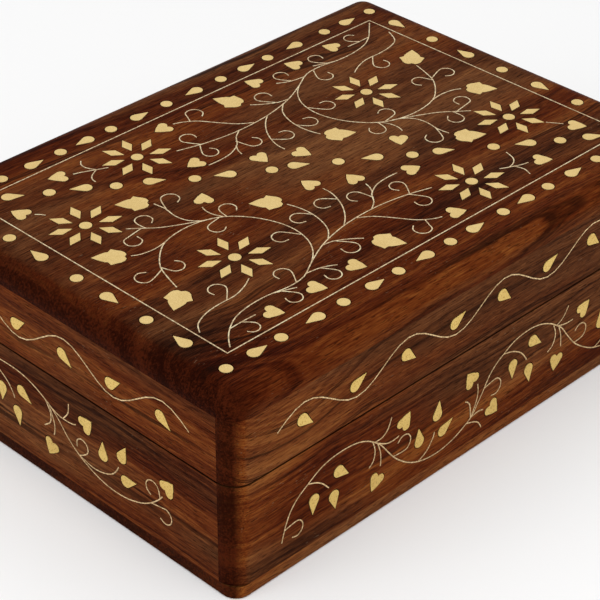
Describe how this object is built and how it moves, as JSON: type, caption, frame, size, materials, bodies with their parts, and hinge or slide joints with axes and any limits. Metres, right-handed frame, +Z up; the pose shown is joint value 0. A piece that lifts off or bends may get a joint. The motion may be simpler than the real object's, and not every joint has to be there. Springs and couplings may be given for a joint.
{
  "type": "inlaid wooden box",
  "caption": "Hinged hardwood keepsake box with brass flowers, leaves and vines inlaid in its lid and sides, for small things kept on a table.",
  "frame": {"origin": "middle of the base's underside, on the surface that the box stands on, centred on the wooden box without the hinge barrels", "axes": "+X along the length, to the right as seen from the front; +Y to the back, where the hinges are; +Z up"},
  "size_m": [0.1782, 0.1296, 0.0611],
  "materials": {
    "wood_top": "satin",
    "wood_front": "satin",
    "wood_side": "satin",
    "wood_dark": "satin",
    "velvet": "pile",
    "hinge_brass": "satin",
    "screw_brass": "polished",
    "wire_brass": "satin",
    "sheet_brass": "brushed satin"
  },
  "bodies": {
    "lower_box": {"base_board": "wood_dark", "body_front": "wood_front", "body_back": "wood_front", "body_left": "wood_side", "body_right": "wood_side", "tray_lining": "velvet", "left_hinge_body_leaf": "hinge_brass", "left_hinge_pin": "hinge_brass", "right_hinge_body_leaf": "hinge_brass", "right_hinge_pin": "hinge_brass", "body_leaf_screws": "screw_brass", "body_front_vine": "wire_brass", "body_front_hearts": "sheet_brass", "body_front_drops": "sheet_brass", "body_back_vine": "wire_brass", "body_back_hearts": "sheet_brass", "body_back_drops": "sheet_brass", "body_left_vine": "wire_brass", "body_left_hearts": "sheet_brass", "body_left_drops": "sheet_brass", "body_right_vine": "wire_brass", "body_right_hearts": "sheet_brass", "body_right_drops": "sheet_brass"},
    "lid": {"lid_top": "wood_top", "lid_front": "wood_front", "lid_back": "wood_front", "lid_left": "wood_side", "lid_right": "wood_side", "lid_lining": "velvet", "left_hinge_lid_leaf": "hinge_brass", "right_hinge_lid_leaf": "hinge_brass", "border_wire": "wire_brass", "top_vine_near": "wire_brass", "top_vine_far": "wire_brass", "border_dots": "sheet_brass", "border_drops": "sheet_brass", "middle_dots": "sheet_brass", "middle_drops": "sheet_brass", "flower_petals": "sheet_brass", "flower_centres": "sheet_brass", "top_leaves": "sheet_brass", "top_hearts": "sheet_brass", "lid_front_wave": "wire_brass", "lid_front_drops": "sheet_brass", "lid_back_wave": "wire_brass", "lid_back_drops": "sheet_brass", "lid_left_wave": "wire_brass", "lid_left_drops": "sheet_brass", "lid_right_wave": "wire_brass", "lid_right_drops": "sheet_brass", "lid_leaf_screws": "screw_brass"}
  },
  "joints": [
    {"name": "lid_hinge", "type": "hinge", "parent": "lower_box", "child": "lid", "pos_m": [0, 0.0638, 0.0347], "axis": [-1, 0, 0], "range_deg": [0, 100]}
  ]
}
